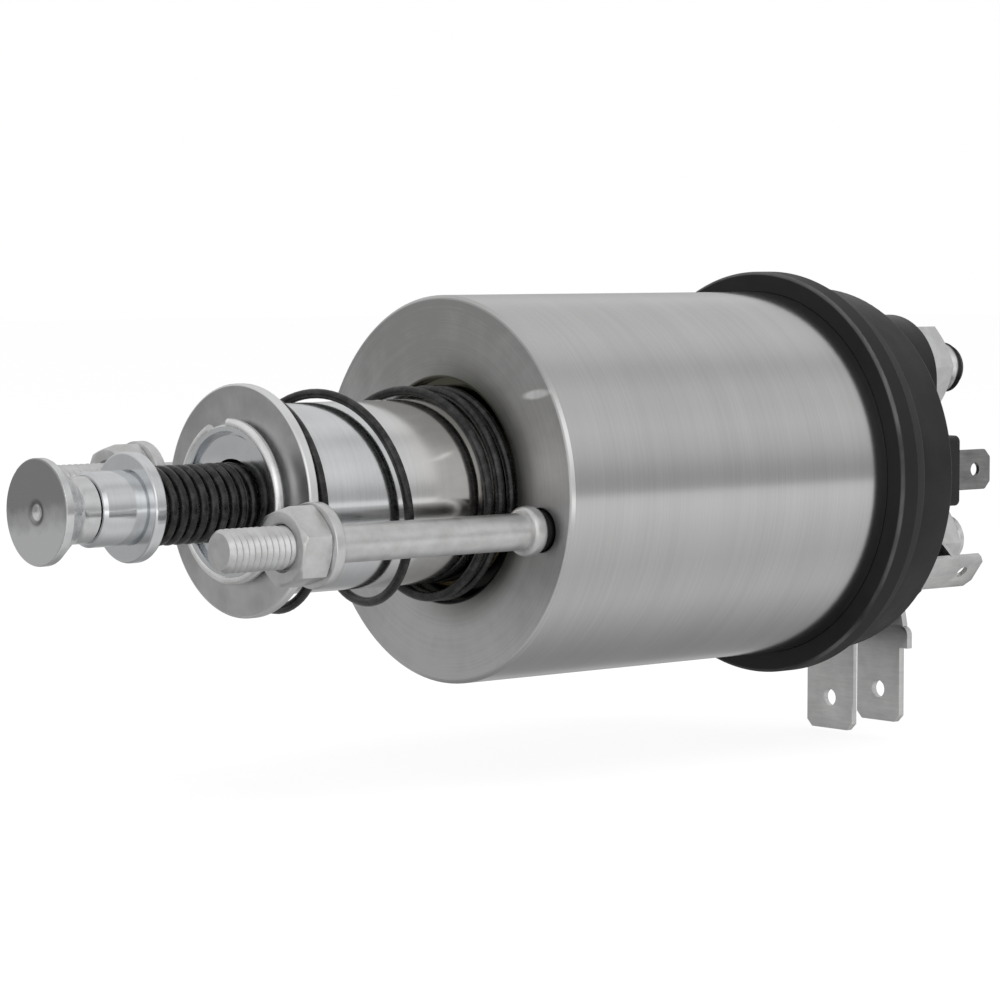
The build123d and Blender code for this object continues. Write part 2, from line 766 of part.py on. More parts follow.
def side_blade_blank(grow):
    """Outline of the side blade: tab, shoulders in the pad, and a narrow foot through the cap."""
    y, z = side_blade_place
    thick = blade_thickness + 2 * grow
    tab = Pos((cap_rear_x + side_blade_tip_x) / 2, y, z) * Box(
        side_blade_tip_x - cap_rear_x, thick, blade_width + 2 * grow)
    foot_x = cap_chamber_end_x - side_blade_foot
    foot = Pos((foot_x + cap_rear_x) / 2, y, z) * Box(
        cap_rear_x - foot_x, thick, side_blade_foot_width + 2 * grow)
    return tab + foot


def solenoid_blade():
    """Upright spade blade for the windings."""
    y, z = side_blade_place
    blade = side_blade_blank(0)
    tips = blade.edges().filter_by(Axis.Y).group_by(Axis.X)[-1]
    blade = chamfer(tips, blade_corner)
    return blade - Pos(side_blade_hole_x, y, z) * Rot(90, 0, 0) * Cylinder(blade_hole_radius, 2 * blade_thickness)


def feed_blade():
    """Narrow blade square to its own radius, on an eye under the battery nut.

    Its foot runs down beside the cap's boss and keeps the eye from turning.
    """
    out_y, out_z = feed_direction
    outward = Plane(origin=(twin_rear_x, 0, 0), x_dir=(0, out_y, out_z), z_dir=(1, 0, 0))
    stud_out = battery_place[0] * out_y + battery_place[1] * out_z
    stud_side = battery_place[1] * out_y - battery_place[0] * out_z
    outer = feed_radius + blade_thickness / 2
    heel = Pos(outer - blade_thickness, 0) * Rectangle(2 * blade_thickness, blade_width)
    eye = Pos(stud_out, stud_side) * Circle(feed_ring_radius)
    plate = extrude(outward * make_hull(heel.edges() + eye.edges()), blade_thickness)
    low = cap_rear_x + feed_tongue_gap - twin_rear_x
    high = feed_tip_x - twin_rear_x
    tab = outward * Pos(feed_radius, 0, (low + high) / 2) * Box(blade_thickness, blade_width, high - low)
    blade = plate + tab
    tips = blade.edges().group_by(Axis.X)[-1].sort_by(lambda e: e.length)[:2]
    corners = [e for e in blade.edges() if is_tip_corner(e, tips)]
    blade = chamfer(corners, feed_corner)
    blade -= bar(stud_radius + seat_clearance, twin_rear_x, feed_rear_x, battery_place)
    hole = Pos(feed_radius, 0, feed_hole_x - twin_rear_x) * Rot(0, 90, 0) * Cylinder(
        blade_hole_radius, 4 * blade_thickness)
    return blade - outward * hole


def is_tip_corner(edge, tips):
    """True for the two short edges across the blade's thickness at its tip."""
    return any(edge.center() == tip.center() for tip in tips)


def twin_blade_plate():
    """Plate with an eye under the battery nut, stepped back behind the cap, with two wide blades."""
    eye = Pos(*battery_place) * Circle(twin_ring_radius)
    middle = Pos(battery_place[0] + twin_web_y, twin_step_top_z)
    web = make_hull(eye.edges() + (middle * Rectangle(twin_web_width, twin_thickness)).edges())
    left_edge = twin_left_y + twin_left_width / 2
    right_edge = twin_right_y - twin_right_width / 2
    outline = web + box_between(right_edge, left_edge, twin_shoulder_z, twin_shoulder_top_z)
    outline += box_between(battery_place[0] + twin_web_y - twin_web_width / 2, twin_left_y,
                           twin_shoulder_top_z, twin_step_top_z)
    ear = box_between(right_edge - twin_shoulder, twin_right_y, twin_shoulder_z, twin_shoulder_top_z)
    outline += fillet(ear.vertices().group_by(Axis.Y)[-1].sort_by(Axis.X)[0], twin_shoulder_corner)
    for y, width, tip in twin_prongs():
        prong = box_between(y - width / 2, y + width / 2, tip, twin_shoulder_z)
        outline += chamfer(prong.vertices().group_by(Axis.Y)[0], twin_corner)
    blank = extrude(across(boss_x) * outline, twin_step + twin_thickness)
    plate = blank & twin_side_view(right_edge - twin_ring_radius, left_edge + twin_ring_radius)
    for y, _, tip in twin_prongs():
        plate -= bar(twin_hole_radius, boss_x, twin_rear_x + twin_step, (y, tip + twin_hole_rise))
    return plate - bar(stud_radius + seat_clearance, boss_x, twin_rear_x, battery_place)


def twin_prongs():
    """Middle, width and tip of the left and the right blade."""
    return ((twin_left_y, twin_left_width, twin_left_tip_z),
            (twin_right_y, twin_right_width, twin_right_tip_z))


def box_between(low_y, high_y, low_z, high_z):
    """Flat rectangle between two widths and two heights."""
    return Pos((low_y + high_y) / 2, (low_z + high_z) / 2) * Rectangle(high_y - low_y, high_z - low_z)


def twin_side_view(right, left):
    """The stepped strip seen from the side, as wide as the plate's outline needs."""
    near = boss_x
    far = twin_rear_x
    low = min(twin_left_tip_z, twin_right_tip_z) - twin_thickness
    strip = Polyline((near, twin_ring_radius), (near, twin_step_top_z),
                     (near + twin_step, twin_step_bottom_z), (near + twin_step, low),
                     (far + twin_step, low), (far + twin_step, twin_step_bottom_z),
                     (far, twin_step_top_z), (far, twin_ring_radius), close=True)
    side = Plane(origin=(0, left, 0), x_dir=(1, 0, 0), z_dir=(0, -1, 0))
    return extrude(side * make_face(strip), left - right)


def contact_bridge():
    """Copper bar that joins the fixed contacts."""
    outline = RectangleRounded(bridge_width, bridge_length, bridge_corner_radius)
    blank = extrude(across(bridge_front_x) * outline, bridge_thickness)
    return blank - bar(bush_sleeve_radius + seat_clearance, bridge_front_x, bridge_rear_x)


def bridge_bush():
    """Insulating bush: flange in front of the bridge and a sleeve through it."""
    return turned([
        (bush_front_x, bush_bore_radius), (bush_front_x, bush_flange_radius),
        (bridge_front_x, bush_flange_radius), (bridge_front_x, bush_sleeve_radius),
        (bridge_rear_x, bush_sleeve_radius), (bridge_rear_x, bush_bore_radius)])


def contact_rod():
    """Pushed rod with a spring collar and a groove for its clip."""
    groove = contact_rod_radius - clip_groove_depth
    soft = contact_rod_chamfer
    return turned([
        (contact_rod_front_x, 0), (contact_rod_front_x, contact_rod_radius - soft),
        (contact_rod_front_x + soft, contact_rod_radius), (rod_collar_x, contact_rod_radius),
        (rod_collar_x, rod_collar_radius), (rod_collar_end_x, rod_collar_radius),
        (rod_collar_end_x, contact_rod_radius), (clip_x, contact_rod_radius), (clip_x, groove),
        (clip_rear_x, groove), (clip_rear_x, contact_rod_radius),
        (contact_rod_end_x - soft, contact_rod_radius),
        (contact_rod_end_x, contact_rod_radius - soft), (contact_rod_end_x, 0)])


def contact_clip():
    """Retaining clip, open on one side, in the rod's groove."""
    bore = contact_rod_radius - clip_groove_depth + seat_clearance
    clip = ring(bridge_washer_radius, bore, clip_x, clip_rear_x)
    mouth = Pos((clip_x + clip_rear_x) / 2, bridge_washer_radius, 0) * Box(
        2 * clip_thickness, 2 * bridge_washer_radius, 1.6 * bore)
    return clip - mouth


def cap_screw(place):
    """Slotted pan-head screw from the cap's rear into the core plate."""
    tip = core_plate_end_x - screw_grip
    screw = turned([
        (tip, 0), (tip, screw_radius - 0.4), (tip + 0.4, screw_radius), (cap_rear_x, screw_radius),
        (cap_rear_x, screw_head_radius), (cap_rear_x + screw_head_height, screw_head_radius),
        (cap_rear_x + screw_head_height, 0)], place)
    screw = fillet(circles_at(screw, screw_head_radius, cap_rear_x + screw_head_height), 0.8)
    slot = Pos(cap_rear_x + screw_head_height, *place) * Box(
        2 * screw_slot_depth, 2 * screw_head_radius, screw_slot_width)
    return screw - slot


def write(name, shape):
    """Write one piece, or one group of identical pieces, as parts/name.step."""
    pieces = shape if isinstance(shape, (list, tuple)) else [shape]
    solids = [solid for piece in pieces for solid in piece.solids()]
    whole = solids[0] if len(solids) == 1 else Compound(children=solids)
    export_step(whole, f"parts/{name}.step")


def build():
    """Write every piece of the switch."""
    os.makedirs("parts", exist_ok=True)
    write("case", case())
    write("mounting_stud_left", mounting_stud(left_stud_angle, left_nut_front_x))
    write("mounting_stud_right", mounting_stud(right_stud_angle, right_nut_front_x))
    write("mounting_nuts", mounting_nuts())
    write("mounting_lock_washers", mounting_lock_washers())
    write("plunger", plunger())
    write("rod_pin", rod_pin())
    write("spring_plate", spring_plate())
    write("snap_ring", snap_ring())
    write("hook_rod", hook_rod())
    write("spring_collar", spring_collar())
    write("lost_motion_spring", lost_motion_spring())
    write("return_spring", return_spring())
    write("guide_tube", guide_tube())
    write("coil_bobbin", coil_bobbin())
    write("pull_in_winding", winding(bobbin_tube_radius + seat_clearance, pull_in_radius))
    write("hold_in_winding", winding(pull_in_radius + seat_clearance, hold_in_radius))
    write("coil_leads", coil_leads())
    write("stop_core", stop_core())
    write("core_plate", core_plate())
    write("seal_ring", seal_ring())
    write("terminal_cap", terminal_cap())
    write("cap_screws", [cap_screw(place) for place in screw_places()])
    write("motor_stud", terminal_stud(motor_place, motor_stud_end_x))
    write("battery_stud", terminal_stud(battery_place, battery_stud_end_x))
    write("motor_contact", fixed_contact(motor_place, motor_contact_drop, motor_contact_rise))
    write("battery_contact", fixed_contact(battery_place, battery_contact_drop, battery_contact_rise))
    write("terminal_lock_washers", terminal_lock_washers())
    write("motor_nut", terminal_nut(motor_place, motor_nut_x, motor_nut_angle))
    write("battery_nut", terminal_nut(battery_place, battery_nut_x, battery_nut_angle))
    write("solenoid_blade", solenoid_blade())
    write("feed_blade", feed_blade())
    write("twin_blade_plate", twin_blade_plate())
    write("contact_rod", contact_rod())
    write("contact_clip", contact_clip())
    write("contact_pressure_spring", contact_pressure_spring())
    write("contact_return_spring", contact_return_spring())
    write("contact_bridge", contact_bridge())
    write("bridge_bush", bridge_bush())
    write("bridge_washer", ring(bridge_washer_radius, bush_bore_radius, bridge_rear_x, clip_x))


build()
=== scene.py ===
from math import cos, hypot, radians, tau

import bmesh
import bpy
from mathutils import Matrix, Vector


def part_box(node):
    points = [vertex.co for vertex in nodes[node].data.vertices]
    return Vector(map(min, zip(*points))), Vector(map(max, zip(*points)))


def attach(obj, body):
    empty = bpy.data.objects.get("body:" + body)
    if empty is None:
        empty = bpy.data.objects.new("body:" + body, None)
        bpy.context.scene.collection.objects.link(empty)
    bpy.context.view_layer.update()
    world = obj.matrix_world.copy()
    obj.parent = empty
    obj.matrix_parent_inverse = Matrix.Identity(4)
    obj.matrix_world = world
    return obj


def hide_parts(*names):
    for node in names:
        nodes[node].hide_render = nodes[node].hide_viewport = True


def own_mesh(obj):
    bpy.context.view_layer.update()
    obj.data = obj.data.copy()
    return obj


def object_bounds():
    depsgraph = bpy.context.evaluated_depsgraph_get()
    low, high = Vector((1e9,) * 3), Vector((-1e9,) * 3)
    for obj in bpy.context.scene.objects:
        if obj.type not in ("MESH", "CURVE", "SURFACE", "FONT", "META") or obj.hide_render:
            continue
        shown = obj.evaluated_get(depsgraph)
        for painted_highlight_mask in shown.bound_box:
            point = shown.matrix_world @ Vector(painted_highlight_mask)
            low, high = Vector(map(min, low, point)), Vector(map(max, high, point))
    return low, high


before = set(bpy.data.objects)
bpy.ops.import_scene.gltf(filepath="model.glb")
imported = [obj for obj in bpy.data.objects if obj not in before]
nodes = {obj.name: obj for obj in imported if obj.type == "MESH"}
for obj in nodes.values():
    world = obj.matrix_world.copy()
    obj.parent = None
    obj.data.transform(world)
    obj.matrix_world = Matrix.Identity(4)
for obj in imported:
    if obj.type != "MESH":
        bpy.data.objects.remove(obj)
cad_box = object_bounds()


# Case: a can drawn from sheet steel, turned bright on its side and ground flat on the face that
# bolts to the starter. Its finish follows the tool: fine rings round the side, smudges on the face.
class Pattern:
    """One output of a shader node, with Python's arithmetic: a finish reads as a formula."""

    def __init__(self, tree, output):
        self.tree = tree
        self.output = output

    def node(self, kind, settings=None, sockets=None, pick=0):
        """Add a node: its settings first, then the values or links of its sockets."""
        made = self.tree.nodes.new(kind)
        for name, value in (settings or {}).items():
            if name == "stops":
                lay_stops(made.color_ramp, value)
            else:
                setattr(made, name, value)
        for name, value in (sockets or {}).items():
            if isinstance(value, Pattern):
                self.tree.links.new(value.output, made.inputs[name])
            else:
                made.inputs[name].default_value = value
        return Pattern(self.tree, made.outputs[pick] if made.outputs else None)

    def math(self, operation, *values):
        return self.node("ShaderNodeMath", {"operation": operation}, dict(enumerate(values)))

    def __add__(self, other):
        return self.math("ADD", self, other)

    def __sub__(self, other):
        return self.math("SUBTRACT", self, other)

    def __rsub__(self, other):
        return self.math("SUBTRACT", other, self)

    def __mul__(self, other):
        return self.math("MULTIPLY", self, other)

    __radd__ = __add__
    __rmul__ = __mul__

    def below(self, limit, soft):
        """1 where this value is under the limit, falling to 0 over the soft width."""
        return self.node("ShaderNodeMapRange", {"interpolation_type": "SMOOTHSTEP"}, {
            "Value": self, "From Min": limit - soft / 2, "From Max": limit + soft / 2,
            "To Min": 1.0, "To Max": 0.0})

    def between(self, low, high):
        """This value stretched so that low to high becomes 0 to 1."""
        return self.node("ShaderNodeMapRange", {}, {
            "Value": self, "From Min": low, "From Max": high})

    def split(self):
        """The x, y and z of a vector."""
        parts = self.node("ShaderNodeSeparateXYZ", {}, {"Vector": self}).output.node
        return [Pattern(self.tree, out) for out in parts.outputs]

    def off_axis(self):
        """How far a place lies from the x axis, which every turned piece was turned about."""
        _, y, z = self.split()
        return self.math("SQRT", y * y + z * z)

    def noise(self, scale, detail=2.0, rough=0.5):
        """Soft noise with its own scale along x, y and z."""
        spread = self.node("ShaderNodeMapping", {}, {"Vector": self, "Scale": scale})
        return self.node("ShaderNodeTexNoise", {}, {
            "Vector": spread, "Scale": 1.0, "Detail": detail, "Roughness": rough})

    def lathe_marks(self, fineness, drift):
        """Rings that a facing tool leaves round the x axis."""
        _, y, z = self.split()
        turns = self.node("ShaderNodeCombineXYZ", {}, {
            "X": self.off_axis() * fineness, "Y": y * drift, "Z": z * drift})
        return self.node("ShaderNodeTexNoise", {}, {"Vector": turns, "Scale": 1.0, "Detail": 3.0})

    def mix(self, first, second):
        """Colour from first to second as this value goes from 0 to 1."""
        return self.node("ShaderNodeMix", {"data_type": "RGBA"}, {0: self, 6: first, 7: second}, 2)

    def bump(self, height):
        """Normal of a surface raised by this value times a height in metres."""
        return self.node("ShaderNodeBump", {}, {
            "Height": self * height, "Distance": 1.0, "Strength": 1.0})


def lay_stops(ramp, stops):
    """Give a colour ramp its stops, as position and colour."""
    while len(ramp.elements) < len(stops):
        ramp.elements.new(0.5)
    for element, (position, colour) in zip(ramp.elements, stops):
        element.position = position
        element.color = colour


def new_finish(name, **constants):
    """A material with a principled shader, and the object's own coordinates to draw patterns on."""
    finish = bpy.data.materials.new(name)
    finish.use_nodes = True
    shader = finish.node_tree.nodes["Principled BSDF"]
    for socket, value in constants.items():
        shader.inputs[socket.replace("_", " ")].default_value = value
    place = finish.node_tree.nodes.new("ShaderNodeTexCoord").outputs["Object"]
    return finish, Pattern(finish.node_tree, place)


def wire_up(finish, **patterns):
    """Link patterns to the shader's own sockets."""
    shader = finish.node_tree.nodes["Principled BSDF"]
    for socket, pattern in patterns.items():
        finish.node_tree.links.new(pattern.output, shader.inputs[socket.replace("_", " ")])


def grey(value, warm=0.0):
    """A neutral colour, a little warmer or cooler."""
    return (value * (1 + warm), value, value * (1 - warm), 1.0)


def dress(finish, *names):
    """Give CAD nodes one finish."""
    for name in names:
        node = nodes[name]
        node.data.materials.clear()
        node.data.materials.append(finish)


# Colour of the painted shade on the face beside the spring.
painted_spring_shade = (0.150, 0.148, 0.125, 1.0)
# Colours of the painted shade in the spring's well, at its bottom and at its top.
well_shade_bottom = (0.016, 0.016, 0.015, 1.0)
well_shade_top = (0.105, 0.100, 0.078, 1.0)
well_radius = 0.0168
# Place and size of a painted glint on the face.
glint_y, glint_z = -0.0207, 0.0146
glint_half_length, glint_half_height = 0.0029, 0.0007


def turned_steel():
    """Bright side with rings left by the tool; duller ground face with thumbed smudges, painted
    darker towards its top as shade, a painted glint, and painted shade beside the spring;
    painted shade in the well where the spring sits, darker at its bottom."""
    finish, place = new_finish("turned steel", Metallic=1.0)
    x, y, z = place.split()
    radius = place.off_axis()
    face = x.below(0.0002, 0.0001)

    rings = place.noise((5200, 30, 30), 3, 0.6)
    broad = place.noise((240, 25, 25), 2)
    side = (rings * 0.6 + broad * 0.4).between(0.3, 0.7).mix(grey(0.545, 0.002), grey(0.625, 0.004))

    lathe = place.lathe_marks(4200, 30)
    smudge = place.noise((210, 210, 210), 4, 0.62)
    blots = place.noise((75, 75, 75), 3, 0.55)
    # Painted shade: the ground face runs darker towards its top and lighter towards its bottom.
    ground = (lathe * 0.3 + smudge * 0.4 + blots * 0.4 - z * 9).between(0.30, 0.82).mix(
        grey(0.40, 0.01), grey(0.66, 0.0))
    # Painted shade on the face beside the spring, on its -y half.
    painted_shade_and_rear_tint = radius.below(0.0190, 0.0045) * y.below(0.0, 0.02)
    ground = (painted_shade_and_rear_tint * 0.72).mix(ground, painted_spring_shade)
    # A painted glint: a small bright streak on the face.
    along = (y - glint_y) * (1 / glint_half_length)
    across = (z - glint_z + (y - glint_y) * 0.13) * (1 / glint_half_height)
    painted_glint = place.math("SQRT", along * along + across * across).below(0.9, 0.7)
    ground = (painted_glint * smudge.between(0.0, 0.5)).mix(ground, grey(0.95))

    # Painted shade in the spring's well, near black at its bottom and dull olive at its top.
    painted_well_shade = z.between(-0.012, 0.012).mix(well_shade_bottom, well_shade_top)
    colour = radius.below(well_radius, 0.0003).mix(face.mix(side, ground), painted_well_shade)
    rough = face * (0.34 + smudge * 0.16) + (1 - face) * (0.13 + rings * 0.08)
    relief = face * lathe * 0.000004 + (1 - face) * rings * 0.000002
    wire_up(finish, Base_Color=colour, Roughness=rough, Normal=relief.bump(1.0))
    return finish


dress(turned_steel(), "case")


# Mounting studs: two long cold-headed steel studs with rolled M6 threads, held by their heads
# inside the can's wall. They are zinc plated, bright with a faint mottle, and their necks at the
# can are painted black as shade.
def zinc_plate(name="zinc plate", value=0.72, rough=0.25, dark_from=None):
    """Bright zinc: fine crystalline grain over a slow mottle; black beyond dark_from along x."""
    finish, place = new_finish(name, Metallic=1.0)
    mottle = place.noise((420, 420, 420), 4, 0.6)
    grain = place.noise((5200, 5200, 5200), 2)
    tint = mottle.between(0.35, 0.65).mix(grey(value * 0.86, 0.012), grey(value * 1.08, -0.004))
    colour = (grain * 0.5).mix(tint, grey(value))
    if dark_from:
        colour = place.split()[0].below(dark_from, 0.0003).mix(grey(0.035), colour)
    wire_up(finish, Base_Color=colour, Roughness=rough + mottle * 0.12 + grain * 0.05,
            Normal=grain.bump(0.000004))
    return finish


def thread_cut(start, end, radius, pitch, tip, steps=40):
    """Bar along x with a rolled thread; tip is +1 or -1, the end pointed for the nut to start."""
    depth = pitch * 0.42
    flank = radius - depth * 0.12
    tooth = [(0.0, radius - depth), (0.42, flank), (0.5, radius), (0.58, flank),
             (1.0, radius - depth)]
    mesh = bmesh.new()
    section = [mesh.verts.new((start - pitch + share * pitch, 0, r)) for share, r in tooth]
    edges = [mesh.edges.new(pair) for pair in zip(section, section[1:])]
    turns = int((end - start) / pitch) + 3
    bmesh.ops.spin(mesh, geom=section + edges, cent=(0, 0, 0), axis=(1, 0, 0),
                   dvec=(pitch / steps, 0, 0), angle=tau * turns, steps=steps * turns)
    bmesh.ops.remove_doubles(mesh, verts=mesh.verts, dist=pitch * 0.004)
    for plane_x, normal in ((start, -1), (end, 1)):
        bmesh.ops.bisect_plane(mesh, geom=mesh.verts[:] + mesh.edges[:] + mesh.faces[:], dist=1e-7,
                               plane_co=(plane_x, 0, 0), plane_no=(normal, 0, 0), clear_outer=True)
    tip_x = end if tip > 0 else start
    for vert in mesh.verts:
        reach = radius - depth * 1.25 + abs(tip_x - vert.co.x)
        around = hypot(vert.co.y, vert.co.z)
        if around > reach:
            vert.co.y *= reach / around
            vert.co.z *= reach / around
    bmesh.ops.holes_fill(mesh, edges=[e for e in mesh.edges if e.is_boundary])
    bmesh.ops.recalc_face_normals(mesh, faces=mesh.faces)
    return mesh


def turn_on(mesh, outline, steps=64):
    """Add a turned solid about the x axis; its outline of x and radius starts and ends on it."""
    points = [mesh.verts.new((x, 0, radius)) for x, radius in outline]
    edges = [mesh.edges.new(pair) for pair in zip(points, points[1:])]
    bmesh.ops.spin(mesh, geom=points + edges, cent=(0, 0, 0), axis=(1, 0, 0), angle=tau,
                   steps=steps, use_merge=True)
    on_axis = [v for v in mesh.verts if hypot(v.co.y, v.co.z) < 1e-6]
    bmesh.ops.remove_doubles(mesh, verts=on_axis, dist=1e-7)


def settle(mesh, name, crease=None):
    """Turn a bmesh into an object at the origin; edges sharper than the crease stay crisp."""
    data = bpy.data.meshes.new(name)
    mesh.to_mesh(data)
    mesh.free()
    piece = bpy.data.objects.new(name, data)
    bpy.context.scene.collection.objects.link(piece)
    if crease is not None:
        data.shade_smooth()
        data.set_sharp_from_angle(angle=radians(crease))
    return piece


def stands_for(piece, node, body, finish):
    """Give a piece its finish and let it take the place of a CAD node."""
    piece.data.materials.append(finish)
    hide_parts(node)
    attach(piece, body)


# The neck past the bead, at the can, is painted black as shade in the crevice.
stud_zinc = zinc_plate("zinc with a shaded neck", 0.72, 0.30, -0.00135)
stud_tip_x = -0.0568
stud_places = {"left": (0.022134, 0.001703), "right": (-0.021699, -0.004691)}
nut_fronts = {"left": -0.0441, "right": -0.0465}
thread_past_nut_front = 0.0069
stud_thread_radius = 0.003
stud_pitch = 0.001
stud_shank_radius = 0.00265
stud_bead = [(-0.0038, 0.0030), (-0.00362, 0.00338), (-0.00324, 0.00356), (-0.0029, 0.0036),
             (-0.0023, 0.0036), (-0.00196, 0.00356), (-0.00158, 0.00338), (-0.0014, 0.0030)]
stud_root_radius = 0.0029
stud_head_front_x, stud_head_rear_x = 0.0025, 0.004
stud_head_radius = 0.0045


def mounting_stud(side):
    """Stud from its pointed end to the head inside the can, with the upset bead near the face."""
    thread_end = nut_fronts[side] + thread_past_nut_front
    shank_start = thread_end - 0.0007
    mesh = thread_cut(stud_tip_x, thread_end, stud_thread_radius, stud_pitch, -1)
    turn_on(mesh, [
        (shank_start, 0), (shank_start, stud_shank_radius), (stud_bead[0][0], stud_shank_radius),
        *stud_bead, (stud_bead[-1][0], stud_root_radius), (stud_head_front_x, stud_root_radius),
        (stud_head_front_x, stud_head_radius), (stud_head_rear_x, stud_head_radius),
        (stud_head_rear_x, 0)])
    bmesh.ops.recalc_face_normals(mesh, faces=mesh.faces)
    bmesh.ops.translate(mesh, verts=mesh.verts, vec=(0, *stud_places[side]))
    stands_for(settle(mesh, "stud_thread_" + side, 40), "mounting_stud_" + side, "solenoid_body",
               stud_zinc)


mounting_stud("left")
mounting_stud("right")


# Mounting nuts and lock washers: hexagon nuts run onto the studs by hand with a split spring washer
# behind each. Pressed and tumbled steel, so every edge is a little rounded, then zinc plated.
def cut_with(mesh, cutter):
    """One closed mesh less another."""
    body, tool = settle(mesh, "cut_body"), settle(cutter, "cut_tool")
    cut = body.modifiers.new("cut", "BOOLEAN")
    cut.operation = "DIFFERENCE"
    cut.solver = "EXACT"
    cut.object = tool
    done = bmesh.new()
    done.from_object(body, bpy.context.evaluated_depsgraph_get())
    for piece in (body, tool):
        bpy.data.objects.remove(piece)
    return done


def eased_copy(name, width, body, finish, notch=None):
    """Copy of a CAD node with its sharp edges rounded off, as tumbling or stamping leaves them."""
    mesh = bmesh.new()
    mesh.from_mesh(nodes[name].data)
    bmesh.ops.remove_doubles(mesh, verts=mesh.verts, dist=1e-6)
    if notch:
        mesh = cut_with(mesh, notch)
    bmesh.ops.dissolve_limit(mesh, angle_limit=radians(0.5), verts=mesh.verts, edges=mesh.edges)
    crisp = [e for e in mesh.edges if len(e.link_faces) == 2 and e.calc_face_angle() > radians(25)]
    bmesh.ops.bevel(mesh, geom=crisp, offset=width, segments=2, profile=0.5, affect="EDGES",
                    clamp_overlap=True, material=-1)
    bmesh.ops.triangulate(mesh, faces=mesh.faces)
    piece = settle(mesh, name + "_eased", 35)
    stands_for(piece, name, body, finish)


plated = zinc_plate()
eased_copy("mounting_nuts", 0.00012, "solenoid_body", plated)
eased_copy("mounting_lock_washers", 0.00015, "solenoid_body", plated)


# Plunger and collar: steel, ground and polished to slide, the plunger in the can and the flanged
# collar on the hook's rod. Towards the can their colour turns warmer and a little darker.
def polished_steel():
    """Almost a mirror, with faint grinding lines round it."""
    finish, place = new_finish("polished steel", Metallic=1.0)
    x, _, _ = place.split()
    lines = place.noise((3800, 25, 25), 3, 0.6)
    cloud = place.noise((130, 130, 130), 4, 0.6)
    shade = (lines * 0.4 + cloud * 0.6).between(0.3, 0.7)
    # Warmer and a little darker towards the can end.
    painted_shade_and_rear_tint = (x + cloud * 0.012).between(-0.016, -0.004) * 0.9
    colour = painted_shade_and_rear_tint.mix(shade.mix(grey(0.70, -0.012), grey(0.84, -0.022)),
                       shade.mix(grey(0.68, 0.035), grey(0.80, 0.025)))
    wire_up(finish, Base_Color=colour, Roughness=0.07 + lines * 0.07 + cloud * 0.08,
            Normal=lines.bump(0.0000015))
    return finish


dress(polished_steel(), "plunger", "rod_pin", "spring_collar", "contact_rod")


# Hook rod: a forged steel rod, pinned in the plunger, whose mushroom head takes the fork of the
# starter's lever. The head is faced off in the lathe, which leaves a mark at its centre.
def turned_head():
    """Faced front, painted darker in its upper half as shade, with painted shade in the centre
    mark; brighter side.
    """
    finish, place = new_finish("faced head", Metallic=1.0)
    x, y, z = place.split()
    radius = place.off_axis()
    lathe = place.lathe_marks(3600, 40)
    cloud = place.noise((330, 330, 330), 4, 0.6)
    face = x.below(-0.07085, 0.0001)
    # Painted shade: the faced front is darker towards its top and lighter towards its bottom.
    painted_light_below = (cloud * 0.004 + lathe * 0.0015 - z - y * 0.1).between(0.00145, 0.00585)
    # Painted shade in the centre mark, stronger on the -y side and paler at its very centre.
    shaded = (y * -1).between(-0.0014, 0.0012) * 0.6 + 0.4
    painted_mark_shade = radius.below(0.0018, 0.0006) * (1 - 0.6 * radius.below(0.0006, 0.0005)) * shaded
    front = painted_mark_shade.mix(painted_light_below.mix(grey(0.36, 0.0), grey(0.80, -0.008)), grey(0.14))
    side = cloud.between(0.3, 0.7).mix(grey(0.66, 0.004), grey(0.82, -0.014))
    wire_up(finish, Base_Color=face.mix(side, front), Roughness=0.12 + cloud * 0.1 + face * 0.12,
            Normal=lathe.bump(0.000003))
    return finish


dress(turned_head(), "hook_rod")


# Spring plate: a thin round plate blanked from sheet steel, which sits on the plunger's shoulder
# and carries the return spring. Its face is dull from the press and its cropped edge bright.
def pressed_plate():
    """Dull clouded face with painted light, lighter towards its bottom and -y side; bright edge."""
    finish, place = new_finish("pressed plate", Metallic=1.0)
    _, y, z = place.split()
    cloud = place.noise((190, 190, 190), 4, 0.6)
    edge = 1 - place.off_axis().below(0.01615, 0.0002)
    # Painted light: the face is lighter towards its bottom and the -y side, darker towards its top.
    face = (cloud * 0.8 - z * 8 - y * 7).between(0.2, 0.75).mix(
        grey(0.44, 0.002), grey(0.72, -0.004))
    wire_up(finish, Base_Color=edge.mix(face, grey(0.88, -0.004)),
            Roughness=0.26 + cloud * 0.14, Normal=cloud.bump(0.00001))
    return finish


dress(pressed_plate(), "spring_plate")


# Snap ring: bright round spring wire bent into an open ring and sprung into the groove of the
# plunger's nose, where it holds the plate. Its gap shows at the upper left.
ring_wire = 0.00075
ring_mean = 0.01095
ring_x = -0.0386
ring_start = radians(89)
ring_span = radians(336)
ring_mesh = bmesh.new()
loop = bmesh.ops.create_circle(ring_mesh, segments=24, radius=ring_wire)["verts"]
bmesh.ops.translate(ring_mesh, verts=loop, vec=(ring_x, ring_mean, 0))
bmesh.ops.rotate(ring_mesh, verts=loop, cent=(0, 0, 0), matrix=Matrix.Rotation(ring_start, 3, "X"))
bmesh.ops.spin(ring_mesh, geom=loop + ring_mesh.edges[:], cent=(0, 0, 0), axis=(1, 0, 0),
               angle=ring_span, steps=120)
bmesh.ops.holes_fill(ring_mesh, edges=[e for e in ring_mesh.edges if e.is_boundary])
bmesh.ops.recalc_face_normals(ring_mesh, faces=ring_mesh.faces)
stands_for(settle(ring_mesh, "snap_ring_wire", 50), "snap_ring", "plunger_set",
           zinc_plate("bright ring wire", 0.95, 0.2))


